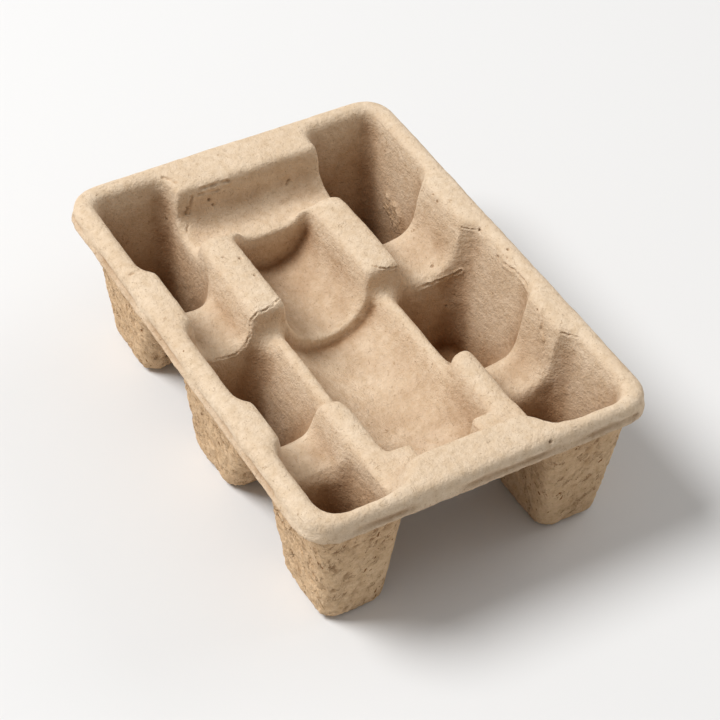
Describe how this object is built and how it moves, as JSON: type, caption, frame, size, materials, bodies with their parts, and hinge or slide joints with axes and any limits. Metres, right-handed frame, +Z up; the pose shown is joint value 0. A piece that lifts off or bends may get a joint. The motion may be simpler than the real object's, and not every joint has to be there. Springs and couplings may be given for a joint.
{
  "type": "molded pulp tray insert",
  "caption": "Molded pulp tray insert with a stepped round-bottomed cradle, tapered side pockets on hollow feet, low saddles, end landings and a turned-down rim.",
  "frame": {"origin": "centre of the tray's outline at the level of the ground under its feet", "axes": "+X along the tray from the rear landing to the front landing, the end where the base of the bottle lies; +Y across; +Z up"},
  "size_m": [0.184, 0.132, 0.058],
  "materials": {
    "pulp": "matte fibrous"
  },
  "bodies": {
    "root": {"pulp_tray": "pulp"}
  },
  "joints": []
}
